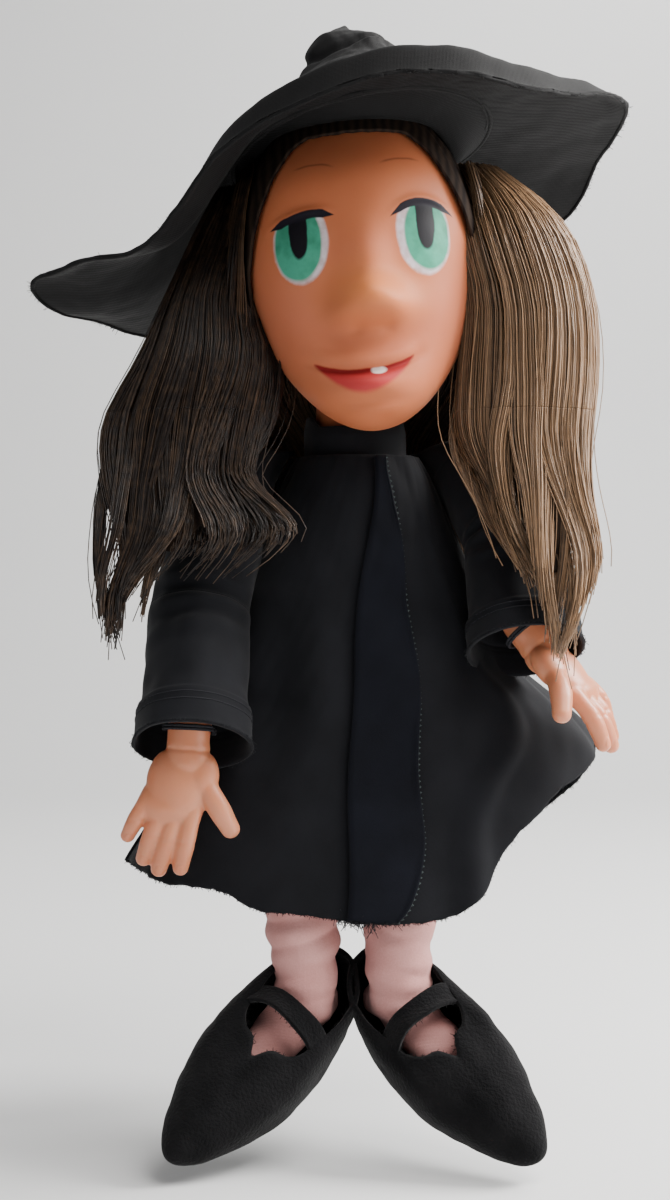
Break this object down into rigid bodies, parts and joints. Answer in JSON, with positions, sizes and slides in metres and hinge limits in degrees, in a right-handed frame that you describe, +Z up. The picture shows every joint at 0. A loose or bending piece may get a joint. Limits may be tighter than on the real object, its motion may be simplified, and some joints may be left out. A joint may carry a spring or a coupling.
{
  "type": "hand puppet",
  "caption": "Witch hand puppet: vinyl head and hands, long wig, floppy black hat, black coat over a cloth glove, pink cloth legs and black strap shoes.",
  "frame": {"origin": "on the vertical centre line of the neck, 3 mm above the plane of the glove's wrist opening, where the hand goes in", "axes": "+Z up to the hat, -Y to the front where the face looks, +X to the puppet's own left"},
  "size_m": [0.2365, 0.186, 0.4352],
  "materials": {
    "vinyl": "satin soft vinyl with painted eyes and lips",
    "coat_cloth": "matt brushed knit",
    "hat_cloth": "matt coated cloth",
    "hair": "glossy nylon fibre",
    "lining": "plain cotton",
    "leg_cloth": "crumpled cotton jersey",
    "shoe_felt": "felt",
    "cord": "waxed cord",
    "card": "rolled card, varnished"
  },
  "bodies": {
    "glove": {"inner_glove": "lining", "wrist_band": "coat_cloth", "coat_back": "coat_cloth", "coat_front_left": "coat_cloth", "coat_front_right": "coat_cloth", "front_facing": "coat_cloth", "collar": "coat_cloth", "hip_tape": "lining", "neck_tie": "cord", "hair_lower_left": "hair", "hair_lower_right": "hair", "hair_lower_back": "hair"},
    "neck": {"finger_tube": "card"},
    "head": {"head_shell": "vinyl", "wig_cap": "hair", "hair_upper_left": "hair", "hair_upper_right": "hair", "hair_back": "hair", "hat_brim": "hat_cloth", "hat_crown": "hat_cloth"},
    "left_upper_arm": {"sleeve_upper_left": "coat_cloth"},
    "left_forearm": {"sleeve_lower_left": "coat_cloth", "cuff_left": "coat_cloth", "arm_tube_left": "lining"},
    "left_hand": {"hand_left": "vinyl", "wrist_tie_left": "cord"},
    "right_upper_arm": {"sleeve_upper_right": "coat_cloth"},
    "right_forearm": {"sleeve_lower_right": "coat_cloth", "cuff_right": "coat_cloth", "arm_tube_right": "lining"},
    "right_hand": {"hand_right": "vinyl", "wrist_tie_right": "cord"},
    "left_leg": {"leg_left": "leg_cloth"},
    "left_foot": {"foot_left": "leg_cloth", "shoe_upper_left": "shoe_felt", "shoe_sole_left": "shoe_felt", "shoe_strap_left": "shoe_felt"},
    "right_leg": {"leg_right": "leg_cloth"},
    "right_foot": {"foot_right": "leg_cloth", "shoe_upper_right": "shoe_felt", "shoe_sole_right": "shoe_felt", "shoe_strap_right": "shoe_felt"}
  },
  "joints": [
    {"name": "neck_nod", "type": "hinge", "parent": "glove", "child": "neck", "pos_m": [0, 0.002, 0.182], "axis": [1, 0, 0], "range_deg": [-12, 15], "deforming": ["hair_lower_left", "hair_lower_right", "hair_lower_back", "hair_upper_left", "hair_upper_right", "hair_back"]},
    {"name": "neck_turn", "type": "hinge", "parent": "neck", "child": "head", "pos_m": [0, 0.002, 0.182], "axis": [0, 0, 1], "range_deg": [-30, 30]},
    {"name": "left_shoulder_raise", "type": "hinge", "parent": "glove", "child": "left_upper_arm", "pos_m": [0.048, 0.004, 0.174], "axis": [0, -1, 0], "range_deg": [0, 60], "deforming": ["hair_lower_left", "hair_upper_left"]},
    {"name": "left_elbow_bend", "type": "hinge", "parent": "left_upper_arm", "child": "left_forearm", "pos_m": [0.061, -0.016, 0.144], "axis": [-1, 0, 0], "range_deg": [0, 50], "deforming": ["hair_lower_left"]},
    {"name": "left_wrist_swing", "type": "hinge", "parent": "left_forearm", "child": "left_hand", "pos_m": [0.0645, -0.035, 0.112], "axis": [-1, 0, 0], "range_deg": [-3, 20]},
    {"name": "right_shoulder_raise", "type": "hinge", "parent": "glove", "child": "right_upper_arm", "pos_m": [-0.05, 0, 0.17], "axis": [0, 1, 0], "range_deg": [0, 60], "deforming": ["hair_lower_right", "hair_upper_right"]},
    {"name": "right_elbow_bend", "type": "hinge", "parent": "right_upper_arm", "child": "right_forearm", "pos_m": [-0.06, -0.022, 0.117], "axis": [-1, 0, 0], "range_deg": [0, 50], "deforming": ["hair_lower_right"]},
    {"name": "right_wrist_swing", "type": "hinge", "parent": "right_forearm", "child": "right_hand", "pos_m": [-0.062, -0.048, 0.076], "axis": [-1, 0, 0], "range_deg": [-15, 20]},
    {"name": "left_hip_swing", "type": "hinge", "parent": "glove", "child": "left_leg", "pos_m": [0.015, -0.027, 0.056], "axis": [-1, 0, 0], "range_deg": [-5, 70], "deforming": ["coat_front_left", "coat_front_right", "front_facing"]},
    {"name": "left_ankle_bend", "type": "hinge", "parent": "left_leg", "child": "left_foot", "pos_m": [0.017, -0.037, -0.03], "axis": [0.7738, 0.298, 0.559], "range_deg": [-15, 15]},
    {"name": "right_hip_swing", "type": "hinge", "parent": "glove", "child": "right_leg", "pos_m": [-0.022, -0.027, 0.056], "axis": [-1, 0, 0], "range_deg": [-5, 70], "deforming": ["coat_front_left", "coat_front_right", "front_facing"]},
    {"name": "right_ankle_bend", "type": "hinge", "parent": "right_leg", "child": "right_foot", "pos_m": [-0.019, -0.037, -0.03], "axis": [0.7738, -0.298, -0.559], "range_deg": [-15, 15]}
  ]
}
